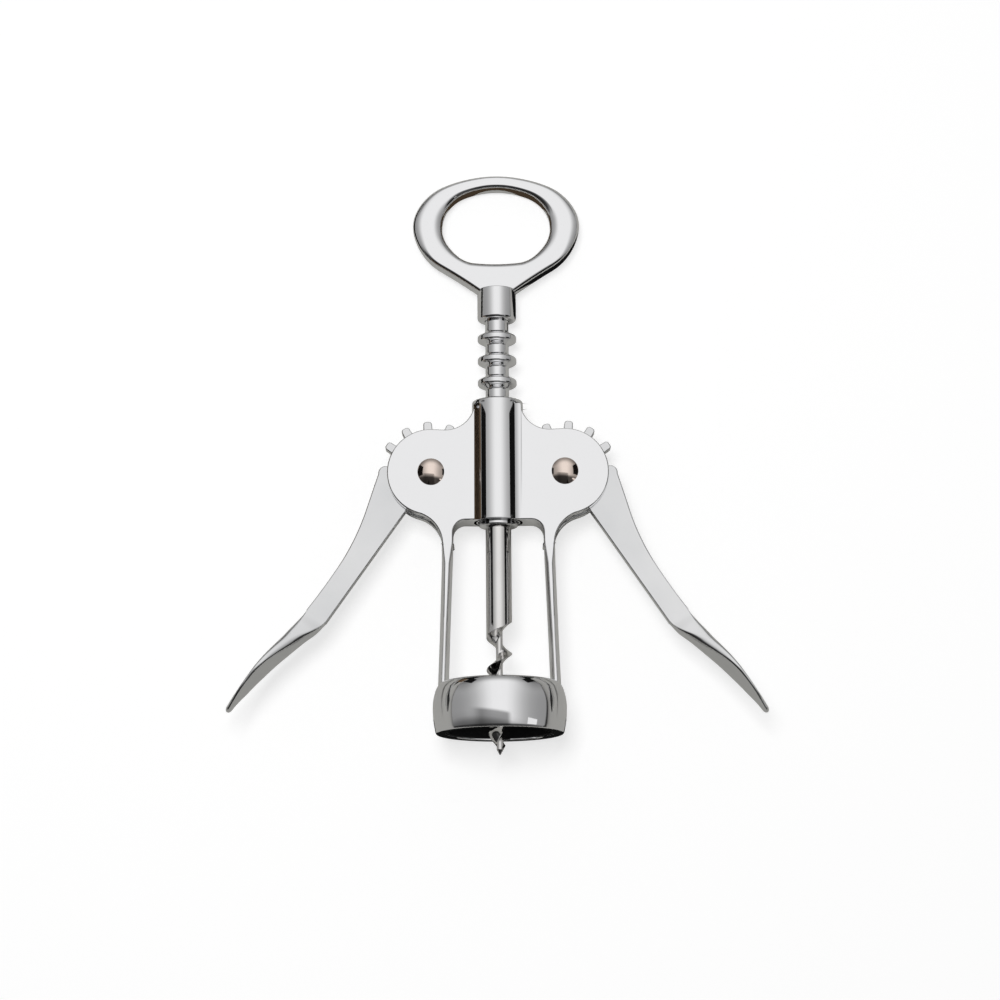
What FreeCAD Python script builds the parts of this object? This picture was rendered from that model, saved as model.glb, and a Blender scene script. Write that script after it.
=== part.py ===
import FreeCAD, Part
import math
import os
import Sketcher

# Wing corkscrew, lying on its back with its front face up.
# Millimetres. The origin is the centre of the bell's rim, where the axis of the
# spindle crosses it; +Y runs along the spindle to the ring handle, +X across the
# two levers, +Z out of the front face.

# Sizes
# name, value in mm or degrees, meaning
SIZES = [
    ("frame_depth", 9.8, "front plate face to back plate face"),
    ("slot_depth", 3.8, "gap between the plates that the levers swing in"),
    ("lever_depth", 3.4, "thickness of a lever, 0.2 clear of each plate"),
    ("pivot_across", 18.3, "spindle axis to lever pivot"),
    ("pivot_up", 71.4, "bell rim to lever pivots"),
    ("lobe_radius", 12.0, "rounded ends of the plates about the pivots"),
    ("slot_clearance", 0.3, "slot beyond the tips of the teeth"),
    ("pin_radius", 2.5, "shank of a rivet"),
    ("pin_clearance", 0.05, "radial running clearance of a lever on its rivet"),
    ("head_radius", 3.65, "domed head of a rivet"),
    ("head_rise", 1.6, "height of a rivet's dome"),
    ("tube_radius", 7.0, "outside of the guide tube"),
    ("tube_top", 92.0, "upper end of the guide tube"),
    ("bore_clearance", 0.3, "guide bore round the rack rings"),
    ("leg_top", 51.4, "bell rim to the upper ends of the legs"),
    ("window_rise", 6.6, "upper ends of the legs to the underside of the plates"),
    ("bell_height", 13.8, "rim to the flat top of the bell"),
    ("bell_radius", 18.1, "widest part of the bell"),
    ("liner_radius", 14.7, "outside of the plastic liner"),
    ("liner_wall", 0.8, "wall of the liner"),
    ("guide_radius", 3.85, "worm guide hole in the liner"),
    ("ring_radius", 5.35, "rack rings"),
    ("neck_radius", 3.225, "rack between its rings"),
    ("ring_pitch", 6.2832, "rack pitch: fourteen teeth round a pitch radius of 14"),
    ("ring_phase", 0.75, "centre of one rack ring above the pivots in this pose"),
    ("rack_foot", 56.8, "lower face of the rack"),
    ("tang_radius", 2.0, "thin upper end of the worm bar"),
    ("bar_radius", 3.5, "worm bar and the crests of its thread"),
    ("worm_pitch", 8.9, "pitch of the thread"),
    ("core_radius", 0.9, "core left inside the thread"),
    ("collar_base", 115.0, "lower face of the handle's collar"),
    ("collar_radius", 5.35, "handle's collar"),
    ("handle_depth", 6.0, "thickness of the ring handle"),
    ("tooth_tip", 14.85, "pivot to the tips of the lever teeth"),
    ("tooth_root", 11.4, "pivot to the feet of the lever teeth"),
    ("tooth_step", 25.714, "angle from one tooth to the next: 360 over 14"),
    ("first_tooth", 89.2, "angle from the arm to the first tooth"),
    ("left_open", 35.5, "left arm from straight down, degrees"),
    ("right_open", 34.3, "right arm from straight down, degrees"),
]

doc = FreeCAD.newDocument("wing_corkscrew")
sheet = doc.addObject("Spreadsheet::Sheet", "Sizes")
size = {}
for row, (name, amount, meaning) in enumerate(SIZES, start=1):
    sheet.set("A%d" % row, name)
    sheet.set("B%d" % row, str(amount))
    sheet.set("C%d" % row, meaning)
    sheet.setAlias("B%d" % row, name)
    size[name] = amount
doc.recompute()

V = FreeCAD.Vector
Z_UP = V(0, 0, 1)


# Drawing helpers
def line(a, b):
    """Straight edge of an outline between two (x, y) points."""
    return Part.LineSegment(V(a[0], a[1], 0), V(b[0], b[1], 0))


def arc(a, middle, b):
    """Arc of a circle from a to b through a middle point."""
    (ax, ay), (bx, by), (cx, cy) = a, middle, b
    d = 2 * (ax * (by - cy) + bx * (cy - ay) + cx * (ay - by))
    sa, sb, sc = ax * ax + ay * ay, bx * bx + by * by, cx * cx + cy * cy
    ux = (sa * (by - cy) + sb * (cy - ay) + sc * (ay - by)) / d
    uy = (sa * (cx - bx) + sb * (ax - cx) + sc * (bx - ax)) / d
    start = math.atan2(ay - uy, ax - ux)
    end = math.atan2(cy - uy, cx - ux)
    circle = Part.Circle(V(ux, uy, 0), Z_UP, math.hypot(ax - ux, ay - uy))
    turn = (bx - ax) * (cy - ay) - (by - ay) * (cx - ax)
    if turn < 0:
        start, end = end, start
    if end < start:
        end += 2 * math.pi
    return Part.ArcOfCircle(circle, start, end)


def on_circle(centre, radius, degrees):
    """Point of a circle at an angle from its +x side."""
    a = math.radians(degrees)
    return (centre[0] + radius * math.cos(a), centre[1] + radius * math.sin(a))


def circle_arc(centre, radius, start, end):
    """Arc about a centre between two angles in degrees, either way round."""
    return arc(
        on_circle(centre, radius, start),
        on_circle(centre, radius, (start + end) / 2),
        on_circle(centre, radius, end),
    )


def chain(*points):
    """Outline of straight edges through the points, closed."""
    return [line(p, q) for p, q in zip(points, points[1:] + points[:1])]


def mirrored(edges):
    """The same edges on the other side of the sketch's vertical axis."""
    out = []
    for edge in edges:
        first, last = edge.FirstParameter, edge.LastParameter
        points = [edge.value(first), edge.value((first + last) / 2), edge.value(last)]
        a, middle, b = [(-p.x, p.y) for p in points]
        straight = isinstance(edge, Part.LineSegment)
        out.append(line(a, b) if straight else arc(a, middle, b))
    return out


def smooth(points, heading):
    """Arcs through the points, each starting in the direction the last one ends."""
    out = []
    for (ax, ay), (bx, by) in zip(points, points[1:]):
        chord_x, chord_y = bx - ax, by - ay
        across_heading = heading[0] * chord_y - heading[1] * chord_x
        radius = (chord_x * chord_x + chord_y * chord_y) / (2 * across_heading)
        cx, cy = ax - heading[1] * radius, ay + heading[0] * radius
        half_way = (ax + bx) / 2 - cx, (ay + by) / 2 - cy
        reach = abs(radius) / math.hypot(*half_way)
        out.append(arc((ax, ay), (cx + half_way[0] * reach, cy + half_way[1] * reach), (bx, by)))
        heading = (-(by - cy) / radius, (bx - cx) / radius)
    return out


def new_body(name):
    body = doc.addObject("PartDesign::Body", name)
    body.Label = name
    return body


def origin_plane(body, role):
    return [f for f in body.Origin.OriginFeatures if f.Role == role][0]


def sketch(body, name, role, edges, shift=0.0):
    """Sketch on an origin plane of the body, moved along the plane's normal."""
    drawn = body.newObject("Sketcher::SketchObject", name)
    drawn.AttachmentSupport = [(origin_plane(body, role), "")]
    drawn.MapMode = "FlatFace"
    drawn.AttachmentOffset = FreeCAD.Placement(V(0, 0, shift), FreeCAD.Rotation())
    drawn.addGeometry(edges, False)
    return drawn


def disc(body, name, role, centre, alias, shift=0.0):
    """Sketch of one circle whose radius is tied to a named size."""
    circle = Part.Circle(V(centre[0], centre[1], 0), Z_UP, size[alias.split(" ")[0]])
    drawn = sketch(body, name, role, [circle], shift)
    drawn.addConstraint(Sketcher.Constraint("Radius", 0, circle.Radius))
    sizes = " ".join("Sizes." + w if w in size else w for w in alias.split(" "))
    drawn.setExpression("Constraints[0]", sizes)
    return drawn


def both_ways(body, kind, name, drawn, length):
    """Pad or pocket to the same depth on both sides of its sketch."""
    feature = body.newObject("PartDesign::" + kind, name)
    feature.Profile = drawn
    feature.SideType = "Symmetric"
    feature.setExpression("Length", length)
    return feature


def turned(body, kind, name, drawn):
    """Full turn of a profile about the sketch's vertical axis."""
    feature = body.newObject("PartDesign::" + kind, name)
    feature.Profile = drawn
    feature.ReferenceAxis = (drawn, ["V_Axis"])
    feature.Angle = 360.0
    return feature


def edges_where(feature, test):
    """Names of the edges of a feature whose ends and middle pass a test."""
    names = []
    for number, edge in enumerate(feature.Shape.Edges, start=1):
        ends = [v.Point for v in edge.Vertexes]
        middle = edge.valueAt((edge.FirstParameter + edge.LastParameter) / 2)
        if test(ends, middle, edge):
            names.append("Edge%d" % number)
    return names


# Frame casting
# Two plates joined round the guide tube, two legs and the bell, cast in one.
across, up = size["pivot_across"], size["pivot_up"]
lobe = size["lobe_radius"]
leg_top_out, leg_top_in, leg_top_up = 15.3, 12.45, size["leg_top"]

# fillet under each lobe: tangent to the lobe and to the leg's outer edge
drop = up - leg_top_up
gap = across - leg_top_out
under_radius = (gap * gap + drop * drop - lobe * lobe) / (2 * (lobe + gap))
under = (leg_top_out + under_radius, leg_top_up)
reach = lobe + under_radius
under_tangent = (
    across + lobe * (under[0] - across) / reach,
    up + lobe * (under[1] - up) / reach,
)
under_angle = math.degrees(math.atan2(up - under[1], across - under[0]))
under_middle = on_circle(under, under_radius, (180 + under_angle) / 2)

# hollow above each lobe, up to the side of the guide tube
hollow = (14.3, 91.2)
hollow_radius = 8.0
hollow_foot = (hollow[0], hollow[1] - hollow_radius)
hollow_end = (6.2, hollow[1])
lobe_top = (across, up + lobe)

corner = 3.4
top = leg_top_up + size["window_rise"]
inner_side = leg_top_in - 0.05
half = [
    line((inner_side - corner, top), (0, top)),
    circle_arc((inner_side - corner, top - corner), corner, 0, 90),
    line((leg_top_in, leg_top_up), (inner_side, top - corner)),
    line((leg_top_in, leg_top_up), (leg_top_out, leg_top_up)),
    arc((leg_top_out, leg_top_up), under_middle, under_tangent),
    arc(under_tangent, (across + lobe, up), lobe_top),
    line(lobe_top, hollow_foot),
    arc(hollow_foot, on_circle(hollow, hollow_radius, 225), (hollow_end[0] + 0.1, hollow[1])),
    line((hollow_end[0] + 0.1, hollow[1]), (0, hollow[1])),
]
frame = new_body("frame_casting")
plate_outline = sketch(frame, "PlateOutline", "XY_Plane", half + mirrored(half))
plates = both_ways(frame, "Pad", "Plates", plate_outline, "Sizes.frame_depth")

# legs: six-sided, with long bevels that leave only a narrow front face
LEG_SECTIONS = [
    # height, inner side, outer side, bevel across the face
    (leg_top_up + 0.2, 12.45, 15.30, 0.05),
    (leg_top_up - 5.4, 12.60, 15.45, 0.75),
    (leg_top_up - 25.4, 13.33, 16.10, 0.95),
    (size["bell_height"] - 1.8, 13.78, 16.65, 0.95),
]
bevel_depth = 3.6
for side_name, sign in (("Left", -1), ("Right", 1)):
    sections = []
    for number, (height, inner, outer, bevel) in enumerate(LEG_SECTIONS):
        deep = size["frame_depth"] / 2
        low = deep - bevel_depth * bevel / 0.95
        outline = [
            (inner, low),
            (inner + bevel, deep),
            (outer - bevel, deep),
            (outer, low),
            (outer, -low),
            (outer - bevel, -deep),
            (inner + bevel, -deep),
            (inner, -low),
        ]
        outline = [(sign * x, z) for x, z in outline]
        name = "%sLeg_%d" % (side_name, number)
        sections.append(sketch(frame, name, "XZ_Plane", chain(*outline), -height))
    leg = frame.newObject("PartDesign::AdditiveLoft", side_name + "Leg")
    leg.Profile = sections[0]
    leg.Sections = sections[1:]
    leg.Ruled = True
doc.recompute()

# soft web between the plates and the guide tube: arcs on both faces
tube = size["tube_radius"]
face = size["frame_depth"] / 2
web_radius = 4.2
web_x = math.sqrt((tube + web_radius) ** 2 - (face + web_radius) ** 2)
web_centre = (web_x, face + web_radius)
web_touch = (tube * web_x / (tube + web_radius), tube * web_centre[1] / (tube + web_radius))
touch_angle = math.degrees(math.atan2(web_touch[1] - web_centre[1], web_touch[0] - web_centre[0]))
web_middle = on_circle(web_centre, web_radius, (touch_angle - 90) / 2)
web_quarter = [
    arc(web_touch, web_middle, (web_x, face)),
    line((web_x, face), (web_x, -face)),
    arc((web_x, -face), (web_middle[0], -web_middle[1]), (web_touch[0], -web_touch[1])),
]
web_edges = web_quarter + mirrored(web_quarter)
web_edges.append(line(web_touch, (-web_touch[0], web_touch[1])))
web_edges.append(line((web_touch[0], -web_touch[1]), (-web_touch[0], -web_touch[1])))
web = frame.newObject("PartDesign::Pad", "TubeWeb")
web.Profile = sketch(frame, "WebOutline", "XZ_Plane", web_edges, -hollow[1])
web.setExpression("Length", "%s - Sizes.leg_top - Sizes.window_rise" % hollow[1])
doc.recompute()

# the hollows cut the web back as well
side = [
    arc((6.3158, hollow[1] - 0.5), on_circle(hollow, hollow_radius, 225), hollow_foot),
    line(hollow_foot, (hollow[0], hollow[1] + 2)),
    line((hollow[0], hollow[1] + 2), (4.0, hollow[1] + 2)),
    line((4.0, hollow[1] + 2), (4.0, hollow[1] - 0.5)),
    line((4.0, hollow[1] - 0.5), (6.3158, hollow[1] - 0.5)),
]
hollows = both_ways(
    frame, "Pocket", "Hollows", sketch(frame, "HollowOutline", "XY_Plane", side + mirrored(side)), "20"
)

# guide tube with an eased mouth
tube_top = size["tube_top"]
tube_profile = chain(
    (0, top),
    (tube, top),
    (tube, tube_top - 1.0),
    (tube - 0.3, tube_top - 0.3),
    (tube - 1.0, tube_top),
    (0, tube_top),
)
turned(frame, "Revolution", "GuideTube", sketch(frame, "TubeProfile", "XY_Plane", tube_profile))

# bell: flat rim, bulging side, rounded shoulder and a flat top the legs stand on
bell_top = size["bell_height"]
bell_out = size["bell_radius"]
liner_out = size["liner_radius"]
widest = 7.0
bulge = 29.0
bell_profile = [(0, 0), (16.9, 0), (17.3, 0.4)]
for height in (2.6, 7.0, 11.4):
    fall = bulge - math.sqrt(bulge * bulge - (height - widest) ** 2)
    bell_profile.append((bell_out - fall * (1.0 if height < widest else 2.0), height))
bell_profile += [(16.75, 12.8), (15.2, bell_top), (0, bell_top)]
bell_profile = chain(*bell_profile)
turned(frame, "Revolution", "Bell", sketch(frame, "BellProfile", "XY_Plane", bell_profile))
ceiling = 11.6
bell_hollow = [
    line((0, -1), (liner_out + 0.35, -1)),
    line((liner_out + 0.35, -1), (liner_out + 0.35, 0)),
    line((liner_out + 0.35, 0), (liner_out, 0.35)),
    line((liner_out, 0.35), (liner_out, ceiling)),
    line((liner_out, ceiling), (5.0, ceiling)),
    line((5.0, ceiling), (5.0, bell_top + 1)),
    line((5.0, bell_top + 1), (0, bell_top + 1)),
    line((0, bell_top + 1), (0, -1)),
]
turned(frame, "Groove", "BellHollow", sketch(frame, "HollowProfile", "XY_Plane", bell_hollow))

# guide bore with a small chamfer at its mouth
bore = size["ring_radius"] + size["bore_clearance"]
bore_profile = chain(
    (0, top - 2),
    (bore, top - 2),
    (bore, tube_top - 0.25),
    (bore + 0.25, tube_top),
    (bore + 0.25, tube_top + 0.5),
    (0, tube_top + 0.5),
)
turned(frame, "Groove", "GuideBore", sketch(frame, "BoreProfile", "XY_Plane", bore_profile))

# slot the levers swing in and the two rivet holes
for side_name, sign in (("Left", -1), ("Right", 1)):
    centre = (sign * across, up)
    both_ways(
        frame,
        "Pocket",
        side_name + "Slot",
        disc(frame, side_name + "SlotCircle", "XY_Plane", centre, "tooth_tip + slot_clearance"),
        "Sizes.slot_depth",
    )
    both_ways(
        frame,
        "Pocket",
        side_name + "RivetHole",
        disc(frame, side_name + "RivetCircle", "XY_Plane", centre, "pin_radius"),
        "Sizes.frame_depth + 2",
    )
doc.recompute()

# Bell liner
# Black plastic cup pressed into the bell, with the hole that centres the worm.
liner = new_body("bell_liner")
wall = size["liner_wall"]
guide = size["guide_radius"]
liner_profile = chain(
    (liner_out, 0.5),
    (liner_out, ceiling),
    (4.9, ceiling),
    (4.9, bell_top - 0.2),
    (guide, bell_top - 0.2),
    (guide, ceiling - wall),
    (liner_out - wall - 1.0, ceiling - wall),
    (liner_out - wall, ceiling - wall - 1.0),
    (liner_out - wall, 0.9),
    (liner_out - 0.4, 0.5),
)
turned(liner, "Revolution", "LinerCup", sketch(liner, "LinerProfile", "XY_Plane", liner_profile))


# Rivets
def rivet(name, sign):
    """Shank through both plates with a domed head on each face."""
    body = new_body(name)
    head, rise, shank = size["head_radius"], size["head_rise"], size["pin_radius"]
    rim = 0.35
    dome = [(0.45 * head, rise), (0.8 * head, rim + 0.6 * (rise - rim)), (head, rim), (head, 0)]
    front = [(r, face + h) for r, h in dome]
    back = [(r, -face - h) for r, h in reversed(dome)]
    axis_top, axis_foot = (0, face + rise), (0, -face - rise)
    profile = chain(axis_top, *front, (shank, face), (shank, -face), *back, axis_foot)
    drawn = sketch(body, name + "_profile", "XZ_Plane", profile)
    turned(body, "Revolution", name + "_turned", drawn)
    body.setExpression("Placement.Base.x", "%d * Sizes.pivot_across" % sign)
    body.setExpression("Placement.Base.y", "Sizes.pivot_up")
    return body


rivet("left_rivet", -1)
rivet("right_rivet", 1)


# Levers
# Drawn with the pivot at the origin, u (x) along the arm and v (y) away from the
# spindle. The second lever is the first one turned over.
ARM_SECTIONS = [
    # u, inner ridge, inner face edge, outer face edge, outer ridge, half thickness
    (50.0, -0.40, -0.25, 5.80, 5.95, 1.70),
    (54.0, 0.00, 1.14, 4.96, 6.40, 2.90),
    (60.6, 1.90, 3.70, 5.70, 7.30, 4.60),
    (67.5, 3.70, 5.95, 6.75, 8.25, 6.30),
    (74.5, 5.05, 6.85, 7.15, 8.60, 5.80),
    (81.6, 6.15, 7.15, 7.45, 8.60, 3.00),
    (85.0, 6.80, 7.20, 7.40, 7.90, 1.20),
]


def lever(name, sign, opening):
    body = new_body(name)
    hub_circle = disc(body, name + "_hub_circle", "XY_Plane", (0, 0), "tooth_root")
    both_ways(body, "Pad", name + "_hub", hub_circle, "Sizes.lever_depth")
    root, tip = size["tooth_root"], size["tooth_tip"]
    base = on_circle((0, 0), 1.0, size["first_tooth"])

    def tooth_point(out, aside):
        return (base[0] * out - base[1] * aside, base[1] * out + base[0] * aside)

    round_by = 0.8
    tooth = [
        line(tooth_point(root - 1.5, 1.35), tooth_point(tip - round_by, 1.18)),
        arc(
            tooth_point(tip - round_by, 1.18),
            tooth_point(tip - 0.22, 0.92),
            tooth_point(tip, 0.42),
        ),
        line(tooth_point(tip, 0.42), tooth_point(tip, -0.42)),
        arc(
            tooth_point(tip, -0.42),
            tooth_point(tip - 0.22, -0.92),
            tooth_point(tip - round_by, -1.18),
        ),
        line(tooth_point(tip - round_by, -1.18), tooth_point(root - 1.5, -1.35)),
        line(tooth_point(root - 1.5, -1.35), tooth_point(root - 1.5, 1.35)),
    ]
    tooth_sketch = sketch(body, name + "_tooth_outline", "XY_Plane", tooth)
    peg = both_ways(body, "Pad", name + "_tooth", tooth_sketch, "Sizes.lever_depth")
    teeth = body.newObject("PartDesign::PolarPattern", name + "_teeth")
    teeth.Originals = [peg]
    teeth.Axis = (origin_plane(body, "Z_Axis"), [""])
    teeth.Mode = "Spacing"
    teeth.setExpression("Offset", "Sizes.tooth_step")
    teeth.Occurrences = 8
    body.Tip = teeth
    blade = [
        line((0.0, -0.2), (50.0, -0.4)),
        line((50.0, -0.4), (50.0, 5.95)),
        arc((50.0, 5.95), (43.07, 5.76), (36.0, 5.85)),
        arc((36.0, 5.85), (27.0, 6.75), (18.27, 8.85)),
        arc((18.27, 8.85), (13.5, 10.35), (8.2, 11.95)),
        arc((8.2, 11.95), (6.3, 12.35), (5.2, 11.5)),
        line((5.2, 11.5), (0.0, 0.0)),
        line((0.0, 0.0), (0.0, -0.2)),
    ]
    blade_sketch = sketch(body, name + "_blade_outline", "XY_Plane", blade)
    both_ways(body, "Pad", name + "_blade", blade_sketch, "Sizes.lever_depth")
    loft = body.newObject("PartDesign::AdditiveLoft", name + "_grip")
    drawn = []
    for number, (u, inner, near, far, outer, thick) in enumerate(ARM_SECTIONS):
        front = [(inner, 0), (near, thick), (far, thick), (outer, 0)]
        outline = chain(*front, (far, -thick), (near, -thick))
        drawn.append(sketch(body, "%s_section_%d" % (name, number), "YZ_Plane", outline, u))
    loft.Profile = drawn[0]
    loft.Sections = drawn[1:]
    loft.Ruled = True
    both_ways(
        body,
        "Pocket",
        name + "_bore",
        disc(body, name + "_bore_circle", "XY_Plane", (0, 0), "pin_radius + pin_clearance"),
        "Sizes.lever_depth + 2",
    )
    turn = math.radians(opening)
    along = V(sign * math.sin(turn), -math.cos(turn), 0)
    away = V(sign * math.cos(turn), math.sin(turn), 0)
    matrix = FreeCAD.Matrix()
    normal = along.cross(away)
    matrix.A11, matrix.A21, matrix.A31 = along
    matrix.A12, matrix.A22, matrix.A32 = away
    matrix.A13, matrix.A23, matrix.A33 = normal
    matrix.A14, matrix.A24 = sign * across, up
    body.Placement = FreeCAD.Placement(matrix)
    doc.recompute()
    return body


lever("left_lever", -1, size["left_open"])
lever("right_lever", 1, size["right_open"])

# Rack sleeve
# Hollow grooved spindle: rings on a neck, the lowest one longer, a plain end on top.
rack = new_body("rack_sleeve")
ring, neck = size["ring_radius"], size["neck_radius"]
tang = size["tang_radius"]
pitch = size["ring_pitch"]
foot, head_end = size["rack_foot"], size["collar_base"] + 1.0
root_half, land_half = 1.9, 0.85
lowest = up + size["ring_phase"] - pitch * 2
rings = int((size["collar_base"] - 3.0 - lowest) / pitch) + 1
profile = [(tang + 0.05, foot), (ring, foot)]
for number in range(rings):
    centre = lowest + pitch * number
    if number:
        profile += [(neck, centre - root_half), (ring, centre - land_half)]
    profile += [(ring, centre + land_half), (neck, centre + root_half)]
profile += [(neck, head_end), (tang + 0.05, head_end)]
profile = chain(*profile)
turned(rack, "Revolution", "RackTurned", sketch(rack, "RackProfile", "XY_Plane", profile))

# Worm
# One steel bar: thin tang up through the rack into the handle, thick shaft below
# it, and the thread cut out of the shaft down to a point.
worm = new_body("worm")
bar = size["bar_radius"]
tang_top, shaft_top = size["collar_base"] + 11.0, size["rack_foot"] - 0.2
tip_start, tip_end = 0.6, -5.6
bar_profile = chain(
    (0, tip_end),
    (0.15, tip_end),
    (bar, tip_start),
    (bar, shaft_top - 0.3),
    (bar - 0.3, shaft_top),
    (tang, shaft_top),
    (tang, tang_top),
    (0, tang_top),
)
turned(worm, "Revolution", "WormBar", sketch(worm, "BarProfile", "XY_Plane", bar_profile))

# The thread is the bar's own metal: one right-handed groove with hollow flanks is
# cut down to the core, and the crests stay sharp at the bar's full radius.
first_crest = 30.66
groove_end = 100.0
worm_pitch = size["worm_pitch"]
core = size["core_radius"]
start = first_crest - worm_pitch / 2 - 4 * worm_pitch
half_wide = worm_pitch / 2 - 0.06
groove = chain(
    (bar + 0.1, start - half_wide),
    (bar - 1.25, start - half_wide + 0.75),
    (core, start - 1.9),
    (core, start + 1.9),
    (bar - 1.25, start + half_wide - 0.75),
    (bar + 0.1, start + half_wide),
)
thread = worm.newObject("PartDesign::SubtractiveHelix", "Thread")
thread_sketch = sketch(worm, "GrooveProfile", "XY_Plane", groove)
thread.Profile = thread_sketch
thread.ReferenceAxis = (thread_sketch, ["V_Axis"])
thread.Mode = "pitch-height-angle"
thread.setExpression("Pitch", "Sizes.worm_pitch")
thread.Height = worm_pitch * (4 + groove_end / 360)
thread.LeftHanded = False
doc.recompute()

# Ring handle
handle = new_body("ring_handle")
collar_base = size["collar_base"]
OUTER_POINTS = [
    # across, height above the collar's base
    (0.0, 41.6),
    (-14.6, 38.7),
    (-22.1, 31.8),
    (-22.8, 24.6),
    (-15.5, 15.0),
    (-4.6, 7.75),
]
HOLE_TOP_POINTS = [(0.0, 38.4), (-8.4, 36.8), (-13.7, 32.1), (-15.0, 27.5)]
HOLE_FOOT_POINTS = [(0.0, 15.6), (-6.4, 16.0), (-10.5, 18.0), (-13.4, 21.4), (-15.0, 27.5)]


def lifted(points):
    """The points with their heights counted from the bell's rim."""
    return [(x, y + collar_base) for x, y in points]


outer_half = smooth(lifted(OUTER_POINTS), (-1, 0))
last_x, last_y = lifted(OUTER_POINTS)[-1]
outer_half.append(line((last_x, last_y), (0, last_y)))
hole_half = smooth(lifted(HOLE_TOP_POINTS), (-1, 0))
hole_half += smooth(lifted(HOLE_FOOT_POINTS), (-1, 0))
ring_pad = both_ways(
    handle,
    "Pad",
    "RingPad",
    sketch(handle, "RingOutline", "XY_Plane", outer_half + mirrored(outer_half)),
    "Sizes.handle_depth",
)
doc.recompute()
flat = size["handle_depth"] / 2


def ring_outer(ends, middle, edge):
    return abs(abs(middle.z) - flat) < 0.01 and middle.y > collar_base + 8


outer_soft = handle.newObject("PartDesign::Chamfer", "OuterEasing")
outer_soft.Base = (ring_pad, edges_where(ring_pad, ring_outer))
outer_soft.Size = 1.45
ring_hole = both_ways(
    handle,
    "Pocket",
    "RingHole",
    sketch(handle, "HoleOutline", "XY_Plane", hole_half + mirrored(hole_half)),
    "Sizes.handle_depth + 2",
)
doc.recompute()


def ring_inner(ends, middle, edge):
    on_face = abs(abs(middle.z) - flat) < 0.01
    return on_face and 15.5 < middle.y - collar_base < 38.5 and abs(middle.x) < 15.2


inner_soft = handle.newObject("PartDesign::Chamfer", "InnerEasing")
inner_soft.Base = (ring_hole, edges_where(ring_hole, ring_inner))
inner_soft.Size = 0.7
doc.recompute()

collar = size["collar_radius"]
collar_profile = chain(
    (0, collar_base),
    (collar - 1.0, collar_base),
    (collar, collar_base + 0.8),
    (collar, collar_base + 8.6),
    (collar - 0.4, collar_base + 9.0),
    (0, collar_base + 9.0),
)
turned(handle, "Revolution", "Collar", sketch(handle, "CollarProfile", "XY_Plane", collar_profile))
socket_profile = chain(
    (0, collar_base - 1),
    (neck + 0.15, collar_base - 1),
    (neck + 0.15, head_end + 0.3),
    (tang, head_end + 0.3),
    (tang, tang_top + 0.2),
    (0, tang_top + 0.2),
)
turned(handle, "Groove", "TangSocket", sketch(handle, "SocketProfile", "XY_Plane", socket_profile))
doc.recompute()

# Checks and files
os.makedirs("parts", exist_ok=True)
for item in doc.Objects:
    broken = [word for word in item.State if word in ("Invalid", "Error")]
    if broken:
        raise RuntimeError("%s: %s" % (item.Name, broken))
for body in doc.findObjects("PartDesign::Body"):
    shape = body.Shape
    if shape.isNull() or not shape.isValid() or len(shape.Solids) != 1:
        raise RuntimeError("%s: shape is not one valid solid (%d)" % (body.Name, len(shape.Solids)))
    shape.exportStep("parts/%s.step" % body.Name)
    print(body.Name, round(shape.Volume, 1), shape.BoundBox)
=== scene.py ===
"""Looks of a wing corkscrew: polished chrome casting, levers and rack, steel worm, copper rivets."""

import logging
import math
from collections.abc import Sequence
from dataclasses import dataclass, field
from enum import Enum
from typing import Callable

import bmesh
import bpy
import numpy as np
from mathutils import Matrix, Vector


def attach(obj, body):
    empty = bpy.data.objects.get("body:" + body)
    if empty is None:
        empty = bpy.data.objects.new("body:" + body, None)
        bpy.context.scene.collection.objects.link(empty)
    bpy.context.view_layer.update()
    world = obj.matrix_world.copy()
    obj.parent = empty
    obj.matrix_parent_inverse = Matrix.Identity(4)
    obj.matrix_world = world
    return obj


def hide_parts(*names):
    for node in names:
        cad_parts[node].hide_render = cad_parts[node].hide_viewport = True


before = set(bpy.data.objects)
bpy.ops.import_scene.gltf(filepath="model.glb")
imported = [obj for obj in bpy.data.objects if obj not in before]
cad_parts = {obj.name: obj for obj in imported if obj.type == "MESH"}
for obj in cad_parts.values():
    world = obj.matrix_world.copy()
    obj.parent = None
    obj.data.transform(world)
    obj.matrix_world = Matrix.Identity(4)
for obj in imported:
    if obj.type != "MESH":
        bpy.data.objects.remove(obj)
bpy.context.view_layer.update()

logging.basicConfig(level=logging.INFO, format="%(message)s")
log = logging.getLogger("corkscrew")

MM = 0.001
Grey = tuple[float, float, float]
Stops = tuple[tuple[float, float], ...]
Corners = list[tuple[float, float, float]]


class Slot(Enum):
    """Material slots of the record."""

    CASTING = "chrome_casting"
    LEVER = "chrome_lever"
    SPINDLE = "chrome_spindle"
    WORM = "steel_worm"
    RIVET = "copper_rivet"
    LINER = "black_liner"


class Body(Enum):
    """Moving bodies of the frame."""

    FRAME = "frame"
    SPINDLE = "spindle"
    SCREW = "screw"
    LEFT_ARM = "left_arm"
    RIGHT_ARM = "right_arm"


# Mesh helpers


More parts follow.
